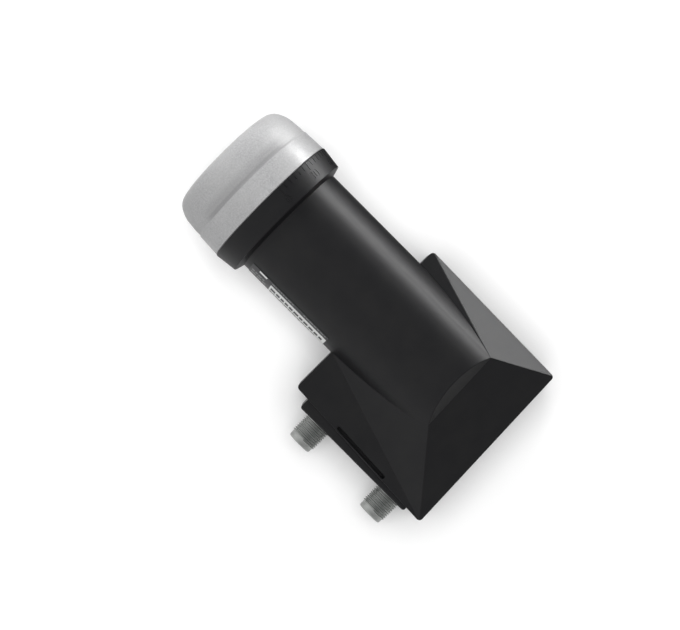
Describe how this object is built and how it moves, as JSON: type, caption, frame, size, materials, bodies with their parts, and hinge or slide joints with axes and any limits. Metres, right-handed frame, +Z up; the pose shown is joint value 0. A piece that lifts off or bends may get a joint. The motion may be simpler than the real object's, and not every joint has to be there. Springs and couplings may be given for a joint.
{
  "type": "satellite lnb",
  "caption": "Twin-output satellite LNB: light feed cap, round 40 mm clamp neck with a collar, faceted dark housing and two threaded coaxial outputs.",
  "frame": {"origin": "on the neck's axis, halfway along the round length that a dish arm's clamp holds", "axes": "+X back along the neck from the cap to the housing's rear, the outputs point to -Y, +Z up from the housing's flat side"},
  "size_m": [0.1261, 0.0742, 0.0482],
  "materials": {
    "housing_plastic": "fine grained, dark grey",
    "cap_plastic": "satin, light grey",
    "seal_rubber": "matte black",
    "label_film": "satin film, dark grey",
    "screw_steel": "zinc plated",
    "cast_metal": "as cast",
    "plated_brass": "plated",
    "white_insulator": "waxy white",
    "board_laminate": "green laminate",
    "chip_plastic": "moulded black",
    "ceramic_tan": "fired ceramic",
    "cover_sheet": "plain sheet",
    "nickel_plate": "satin nickel plate"
  },
  "bodies": {
    "root": {"upper_shell": "housing_plastic", "lower_shell": "housing_plastic", "connector_plate": "housing_plastic", "scale_collar": "housing_plastic", "feed_cap": "cap_plastic", "cap_seal_ring": "seal_rubber", "rating_label": "label_film", "shell_screws": "screw_steel", "feed_horn_casting": "cast_metal", "isolation_pin": "plated_brass", "floor_probe": "plated_brass", "floor_probe_bush": "white_insulator", "side_probe": "plated_brass", "side_probe_bush": "white_insulator", "circuit_board": "board_laminate", "mixer_chips": "chip_plastic", "switch_chip": "chip_plastic", "voltage_regulators": "chip_plastic", "amplifier_transistors": "chip_plastic", "capacitors": "ceramic_tan", "ceramic_resonators": "ceramic_tan", "tuning_screws": "plated_brass", "board_cover": "cover_sheet", "cover_screws": "screw_steel", "f_connector_front": "nickel_plate", "f_insulator_front": "white_insulator", "f_contact_front": "plated_brass", "f_seal_front": "seal_rubber", "f_connector_rear": "nickel_plate", "f_insulator_rear": "white_insulator", "f_contact_rear": "plated_brass", "f_seal_rear": "seal_rubber"}
  },
  "joints": []
}
